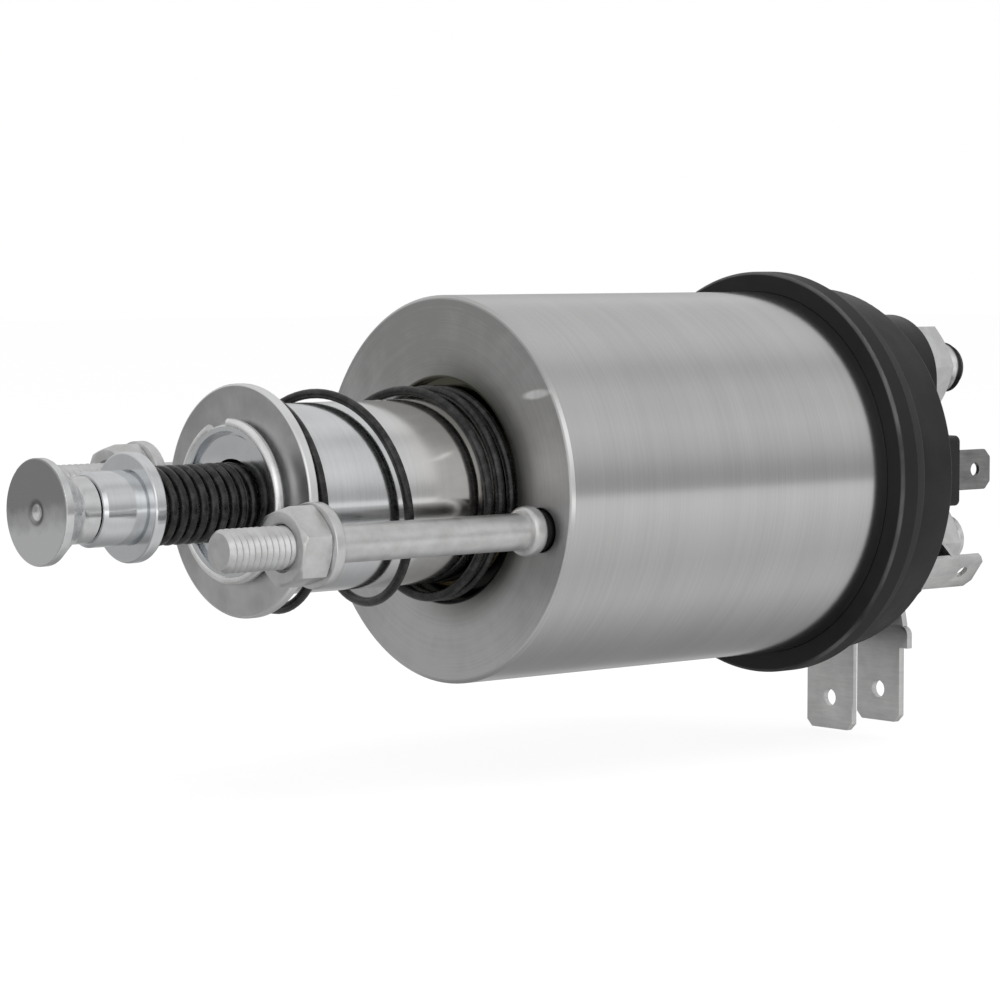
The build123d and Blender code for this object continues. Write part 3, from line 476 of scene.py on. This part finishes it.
# Return spring: hard-drawn steel wire, coiled right-handed and blacked with oil. It stands between
# the can's seat and the spring plate, with closed turns at both ends, and sags a little.
def blacked_wire():
    """Oil-blacked steel wire with a dull sheen and paler rubbed spots."""
    finish, place = new_finish("blacked wire", Metallic=0.55, Coat_Weight=0.2, Coat_Roughness=0.2)
    wear = place.noise((700, 700, 700), 3, 0.6)
    draw = place.noise((4200, 4200, 4200), 2)
    wire_up(finish, Base_Color=wear.between(0.45, 0.8).mix(grey(0.015, 0.0), grey(0.055, 0.01)),
            Roughness=0.22 + draw * 0.12, Normal=draw.bump(0.000004))
    return finish


def coil_spring(name, segments, mean, wire, start, start_angle, steps, sides, rise=0.0):
    """Round wire spun along x through segments of pitch and turns, its axis raised by the rise."""
    mesh = bmesh.new()
    ring = bmesh.ops.create_circle(mesh, segments=sides, radius=wire)["verts"]
    bmesh.ops.translate(mesh, verts=ring, vec=(start, mean, 0))
    bmesh.ops.rotate(mesh, verts=ring, cent=(0, 0, 0), matrix=Matrix.Rotation(start_angle, 3, "X"))
    last = ring + mesh.edges[:]
    for pitch, turns in segments:
        count = max(1, round(steps * turns))
        spun = bmesh.ops.spin(mesh, geom=last, cent=(0, 0, 0), axis=(1, 0, 0), angle=tau * turns,
                              dvec=(pitch * turns / count, 0, 0), steps=count)
        last = spun["geom_last"]
    bmesh.ops.holes_fill(mesh, edges=[e for e in mesh.edges if e.is_boundary])
    bmesh.ops.recalc_face_normals(mesh, faces=mesh.faces)
    bmesh.ops.translate(mesh, verts=mesh.verts, vec=(0, 0, rise))
    return settle(mesh, name, 60)


def eased(low, high, turns, parts=8):
    """Short segments whose pitch eases from low to high, as wire leaves a closed coil."""
    shares = [(i + 0.5) / parts for i in range(parts)]
    return [(low + (high - low) * s * s * (3 - 2 * s), turns / parts) for s in shares]


blacked = blacked_wire()
plate_back_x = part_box("spring_plate")[1].x
wire_gap = 0.00003
return_seat_x = 0.0012
return_wire = 0.0007
return_mean = 0.0151
return_sag = -0.0004
return_end_angle = radians(210)
front_turns = (0.00106, 0.65)
rear_turns = (0.0021, 1.95)
blend_turns = 0.45
free_turns = 1.38
return_room = return_seat_x - plate_back_x - 2 * (return_wire + wire_gap)
closed_room = front_turns[0] * front_turns[1] + rear_turns[0] * rear_turns[1]
blend_low = (front_turns[0] + rear_turns[0]) / 2
free_pitch = (return_room - closed_room - blend_low * blend_turns) / (free_turns + blend_turns)
return_segments = [
    front_turns, *eased(front_turns[0], free_pitch, blend_turns), (free_pitch, free_turns),
    *eased(free_pitch, rear_turns[0], blend_turns), rear_turns]
return_angle = return_end_angle - tau * sum(turns for _, turns in return_segments)
return_spring = coil_spring(
    "return_spring_wire", return_segments, return_mean, return_wire,
    plate_back_x + wire_gap + return_wire, return_angle, 72, 20, return_sag)
stands_for(return_spring, "return_spring", "solenoid_body", blacked)
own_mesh(return_spring)


# Lost motion spring: a small close spring of the same blacked wire round the hook's rod, from the
# floor of the plunger's bore to the collar. It gives when the pinion meets the ring gear's teeth.
lost_wire = 0.0007
lost_mean = 0.00487
lost_turns = 18.8
lost_front_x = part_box("spring_collar")[1].x
bore_floor_x = -0.021
lost_room = bore_floor_x - lost_front_x - 2 * (lost_wire + wire_gap)
lost_spring = coil_spring(
    "lost_motion_spring_wire", [(lost_room / lost_turns, lost_turns)], lost_mean, lost_wire,
    lost_front_x + wire_gap + lost_wire, radians(90), 44, 16)
stands_for(lost_spring, "lost_motion_spring", "plunger_set", blacked)
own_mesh(lost_spring)


# Terminal cap: moulded in black glass-filled nylon with a fine satin skin, with bosses for the
# studs and a flange that clamps the seal. Two screws draw it onto the can.
def moulded_black():
    """Satin black with faint flow marks, paler on the flange."""
    finish, place = new_finish("black moulding", Metallic=0.0, IOR=1.38)
    skin = place.noise((2600, 2600, 2600), 3, 0.6)
    flow = place.noise((90, 90, 90), 3)
    cloud = place.noise((140, 60, 60), 3, 0.6).between(0.35, 0.7)
    x, _, _ = place.split()
    flange = (1 - place.off_axis().below(0.0292, 0.0002)) * x.below(0.0715, 0.0002)
    body = flow.between(0.3, 0.7).mix(grey(0.006), grey(0.016, 0.01))
    wire_up(finish, Base_Color=flange.mix(body, grey(0.021)),
            Roughness=0.26 + skin * 0.14 + cloud * 0.2, Normal=(skin * 0.4 + cloud).bump(0.00003))
    return finish


dress(moulded_black(), "terminal_cap")


# Seal: a black rubber ring stretched over the joint of can and cap and squeezed by the cap's
# flange. It is matt, with a dusty bloom, and carries a painted highlight along its outer corner.
def seal_rubber():
    """Matt black with a bloom, and a painted highlight along the outer corner."""
    finish, place = new_finish("seal rubber", Metallic=0.0, IOR=1.38)
    bloom = place.noise((300, 300, 300), 4, 0.6)
    x, _, _ = place.split()
    # Painted highlight along the seal's outer front corner, broken up by noise.
    painted_highlight_mask = (1 - place.off_axis().below(0.0312, 0.0003)) * x.below(0.0651, 0.0003)
    painted_corner_highlight = painted_highlight_mask * place.noise((500, 90, 90), 3).between(0.25, 0.6)
    body = bloom.between(0.35, 0.75).mix(grey(0.005), grey(0.009))
    wire_up(finish, Base_Color=painted_corner_highlight.mix(body, grey(0.085)),
            Roughness=0.42 + bloom * 0.2, Normal=bloom.bump(0.00003))
    return finish


dress(seal_rubber(), "seal_ring")


# Terminals: M8 steel studs whose hexagon heads sit inside the cap, each with a nut and a split
# washer outside it, all zinc plated. The motor's stud is dipped in black lacquer at its tip.
terminal_head_x, terminal_head_end_x = 0.0723, 0.0753
terminal_half_flats = 0.0045
terminal_thread_x = 0.0837
terminal_thread_radius = 0.004
terminal_pitch = 0.00125
terminal_core_radius = 0.00395


def terminal_stud(name, place, end, finish):
    """Terminal stud: hexagonal head inside the cap, and an M8 thread outside it."""
    mesh = thread_cut(terminal_thread_x, end, terminal_thread_radius, terminal_pitch, 1, 48)
    core_start, core_end = terminal_head_end_x - 0.0002, terminal_thread_x + 0.0003
    turn_on(mesh, [(core_start, 0), (core_start, terminal_core_radius),
                   (core_end, terminal_core_radius), (core_end, 0)])
    head = bmesh.ops.create_circle(mesh, cap_ends=True, segments=6,
                                   radius=terminal_half_flats / cos(radians(30)))
    bmesh.ops.rotate(mesh, verts=head["verts"], cent=(0, 0, 0),
                     matrix=Matrix.Rotation(radians(90), 3, "Y"))
    bmesh.ops.translate(mesh, verts=head["verts"], vec=(terminal_head_x, 0, 0))
    faces = list({f for v in head["verts"] for f in v.link_faces})
    grown = bmesh.ops.extrude_face_region(mesh, geom=faces, use_keep_orig=True)["geom"]
    bmesh.ops.translate(mesh, verts=[v for v in grown if isinstance(v, bmesh.types.BMVert)],
                        vec=(terminal_head_end_x - terminal_head_x, 0, 0))
    bmesh.ops.recalc_face_normals(mesh, faces=mesh.faces)
    bmesh.ops.translate(mesh, verts=mesh.verts, vec=(0, *place))
    stands_for(settle(mesh, name + "_thread", 40), name, "solenoid_body", finish)


terminal_stud("motor_stud", (-0.010205, 0.016205), 0.0982,
              zinc_plate("zinc with a lacquered tip", 0.72, 0.25, 0.0966))
terminal_stud("battery_stud", (-0.010304, -0.011646), 0.0986, plated)
dress(plated, "cap_screws")
for name in ("motor_nut", "battery_nut", "terminal_lock_washers"):
    eased_copy(name, 0.00015, "solenoid_body", plated)


# Blades: spade terminals stamped from brass strip and tinned. One stands in its moulded pad, and
# the feed blade and the twin plate are clamped by their eyes under the battery nut.
def tinned_strip(name, dark, light):
    """Matt tin over stamped strip, with rolling lines along it and dull clouds."""
    finish, place = new_finish(name, Metallic=1.0)
    roll = place.noise((300, 300, 2600), 3, 0.6)
    cloud = place.noise((260, 260, 260), 4, 0.6)
    tin = (roll * 0.4 + cloud * 0.6).between(0.32, 0.68).mix(grey(dark, 0.004), grey(light, 0.008))
    wire_up(finish, Base_Color=tin, Roughness=0.38 + cloud * 0.14, Normal=roll.bump(0.000003))
    return finish


stamped_edge = 0.00016
notch_size = (0.02, 0.012, 0.0058)
notch_place = (0.085, -0.0186, -0.02202)
# The solenoid blade's tin is painted darker than the other blades' tin, as shade.
for name, dark, light in (("solenoid_blade", 0.20, 0.36), ("feed_blade", 0.60, 0.80)):
    eased_copy(name, stamped_edge, "solenoid_body",
               tinned_strip("tin on the " + name, dark, light))

twin_notch = bmesh.new()
bmesh.ops.create_cube(twin_notch, size=1.0)
bmesh.ops.scale(twin_notch, verts=twin_notch.verts, vec=notch_size)
bmesh.ops.translate(twin_notch, verts=twin_notch.verts, vec=notch_place)
eased_copy("twin_blade_plate", stamped_edge, "solenoid_body",
           tinned_strip("tin on the twin plate", 0.62, 0.80), notch=twin_notch)


# Inside the can and the cap: a drawn brass guide tube, a nylon former wound with enamelled copper,
# a soft iron core and plate, and copper contacts on their insulated rod.
def inner_finish(name, dark, light, metallic, rough, scale):
    """Plain finish for a hidden piece: two close tones in its own grain."""
    finish, place = new_finish(name, Metallic=metallic)
    grain = place.noise(scale, 3, 0.6)
    wire_up(finish, Base_Color=grain.between(0.3, 0.7).mix(dark, light),
            Roughness=rough + grain * 0.1, Normal=grain.bump(0.000006))
    return finish


dress(inner_finish("tarnished brass", (0.13, 0.10, 0.05, 1), (0.24, 0.18, 0.09, 1), 1.0, 0.34,
                   (40, 900, 900)), "guide_tube")
dress(inner_finish("bare copper", (0.62, 0.26, 0.14, 1), (0.78, 0.38, 0.22, 1), 1.0, 0.24,
                   (900, 900, 900)), "motor_contact", "battery_contact", "contact_bridge")
dress(inner_finish("enamelled wire", (0.36, 0.10, 0.03, 1), (0.55, 0.19, 0.07, 1), 0.6, 0.25,
                   (1250, 20, 20)), "pull_in_winding", "hold_in_winding", "coil_leads")
dress(inner_finish("soft iron", grey(0.22), grey(0.34), 1.0, 0.38, (1200, 300, 300)),
      "stop_core", "core_plate")
dress(inner_finish("natural nylon", (0.62, 0.57, 0.46, 1), (0.72, 0.67, 0.56, 1), 0.0, 0.42,
                   (400, 400, 400)), "coil_bobbin")
dress(inner_finish("phenolic", (0.16, 0.06, 0.025, 1), (0.24, 0.10, 0.045, 1), 0.0, 0.4,
                   (900, 900, 900)), "bridge_bush", "bridge_washer")


# Contact springs and clip: bright drawn wire. One open spring pushes the bridge off its rod's
# collar, the other sends the set home, and both shorten as the contacts close.
drawn = zinc_plate("drawn spring wire", 0.5, 0.3)
dress(drawn, "contact_clip")

pressure_wire = 0.00045
pressure_mean = 0.0034
pressure_turns = 5.5
pressure_front_x = 0.0595
pressure_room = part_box("bridge_bush")[0].x - pressure_front_x
pressure_pitch = (pressure_room - 2 * (pressure_wire + wire_gap)) / pressure_turns
pressure_spring = coil_spring(
    "contact_pressure_wire", [(pressure_pitch, pressure_turns)], pressure_mean, pressure_wire,
    pressure_front_x + wire_gap + pressure_wire, 0.0, 36, 12)
stands_for(pressure_spring, "contact_pressure_spring", "contact_set", drawn)
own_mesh(pressure_spring)

home_wire = 0.0004
home_mean = 0.0033
home_turns = 4.5
home_front_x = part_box("contact_clip")[1].x
home_seat_x = 0.0829
home_room = home_seat_x - home_front_x
home_pitch = (home_room - 2 * (home_wire + wire_gap)) / home_turns
home_spring = coil_spring(
    "contact_return_wire", [(home_pitch, home_turns)], home_mean, home_wire,
    home_front_x + wire_gap + home_wire, 0.0, 36, 12)
stands_for(home_spring, "contact_return_spring", "solenoid_body", drawn)
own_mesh(home_spring)


# Table: a pale matt sheet under the part. The camera sees it white, with enough of its own shade
# left to keep the part's faint shadow. The metal doesn't mirror it.
def white_share(tree, mirrored):
    """How much of the white backdrop a ray meets: all for the camera and through clear things, and
    the given share in what the metal mirrors."""
    path = tree.nodes.new("ShaderNodeLightPath")
    seen, through, glossy = (Pattern(tree, path.outputs[name]) for name in (
        "Is Camera Ray", "Is Transmission Ray", "Is Glossy Ray"))
    straight = seen.math("MAXIMUM", seen, through)
    return straight.math("MAXIMUM", straight, glossy * mirrored)


floor_z = cad_box[0][2] - 0.0005
floor_mesh = bmesh.new()
bmesh.ops.create_grid(floor_mesh, x_segments=1, y_segments=1, size=3.0)
bmesh.ops.translate(floor_mesh, verts=floor_mesh.verts, vec=(0, 0, floor_z))
floor = settle(floor_mesh, "floor")
floor_paint = bpy.data.materials.new("pale table")
floor_paint.use_nodes = True
table = floor_paint.node_tree
table.nodes.clear()
rays = white_share(table, 0.0)
matt = rays.node("ShaderNodeBsdfDiffuse", {}, {"Color": grey(0.72)})
white = rays.node("ShaderNodeEmission", {}, {"Color": grey(1.0), "Strength": 1.12})
seen = rays.node("ShaderNodeMixShader", {}, {0: rays * 0.8, 1: matt, 2: white})
rays.node("ShaderNodeOutputMaterial", {}, {"Surface": seen})
floor.data.materials.append(floor_paint)
floor.visible_glossy = False


# Room: long soft boxes along the solenoid, each an angle round the x axis and a level. The levels were
# fitted to the can's brightness, read round its visible side in the photograph. One more box hangs in
# front, in the direction where the photograph's camera stands.
room = bpy.data.worlds.new("studio")
bpy.context.scene.world = room
room.use_nodes = True
tree = room.node_tree
tree.nodes.clear()
look = Pattern(tree, tree.nodes.new("ShaderNodeTexCoord").outputs["Generated"])
_, look_y, look_z = look.split()
round_x = look.math("ARCTAN2", look_z, look_y) * (1 / tau) + 0.5
soft_boxes = (
    (-177, 0.44), (-175.5, 0.83), (-166, 0.80), (-155, 0.72), (-143, 0.65), (-132, 0.60),
    (-120, 0.62), (-110, 0.63), (-103, 0.60), (-95, 0.53), (-79, 0.41), (-70, 0.36), (-58, 0.32),
    (-42, 0.31), (-34, 0.35), (-27, 0.47), (-5, 0.42), (20, 0.58), (31, 0.69), (45, 0.66),
    (60, 0.68), (80, 0.72), (93, 0.68), (104, 0.58), (110, 0.59), (121, 0.67), (133, 0.68),
    (145, 0.72), (157, 0.66), (163, 0.60), (170, 0.49), (176, 0.44))
# The white that metal mirrors comes off each level, so outside the front box it changes nothing.
white_mirrored = 0.12
ramp = round_x.node("ShaderNodeValToRGB", {"stops": [
    ((angle + 180) / 360, grey((level - white_mirrored) / (1 - white_mirrored)))
    for angle, level in soft_boxes]}, {0: round_x})
front_direction = (-0.643, -0.763, 0.066)
front_gain = 0.95
toward_front = look.node("ShaderNodeVectorMath", {"operation": "DOT_PRODUCT"}, {
    0: look, 1: front_direction}, 1)
front_box = toward_front.between(0.72, 0.90) * look_z.between(-0.24, -0.08)
lit = ramp.node("ShaderNodeBackground", {}, {
    "Color": ramp, "Strength": 1.0 + front_box * front_gain})
backdrop = ramp.node("ShaderNodeBackground", {}, {"Color": grey(1.0), "Strength": 1.0})
ramp.node("ShaderNodeOutputWorld", {}, {"Surface": ramp.node("ShaderNodeMixShader", {}, {
    0: white_share(tree, white_mirrored), 1: lit, 2: backdrop})})


def soft_box(name, place, aim, size, watts):
    """Area lamp pointing from its place at the aim; it lights matt surfaces only."""
    data = bpy.data.lights.new(name, "AREA")
    data.shape = "RECTANGLE"
    data.size, data.size_y = size
    data.energy = watts
    lamp = bpy.data.objects.new(name, data)
    bpy.context.scene.collection.objects.link(lamp)
    lamp.location = place
    lamp.rotation_euler = (Vector(aim) - Vector(place)).to_track_quat("-Z", "Y").to_euler()
    lamp.visible_glossy = False


soft_box("overhead", (0.0, -0.35, 0.75), (0.02, 0, 0), (0.9, 0.6), 5.0)
soft_box("front left", (-0.7, -0.5, 0.25), (0, 0, 0), (0.5, 0.5), 2.0)


# Camera: the photograph's place and long lens, off the front left and a little above the axis, as
# fitted to the can's outline.
camera_place = (-0.34413, -0.40924, 0.03504)
camera_azimuth = -40.968
camera_elevation = 3.909
camera = bpy.data.objects.new("camera", bpy.data.cameras.new("camera"))
bpy.context.scene.collection.objects.link(camera)
camera.location = camera_place
camera.rotation_euler = (radians(90 - camera_elevation), 0, radians(camera_azimuth))
camera.data.sensor_width = 36.0
camera.data.lens = 131.69
camera.data.clip_start = 0.01
bpy.context.scene.camera = camera
bpy.context.scene.view_settings.view_transform = "Standard"
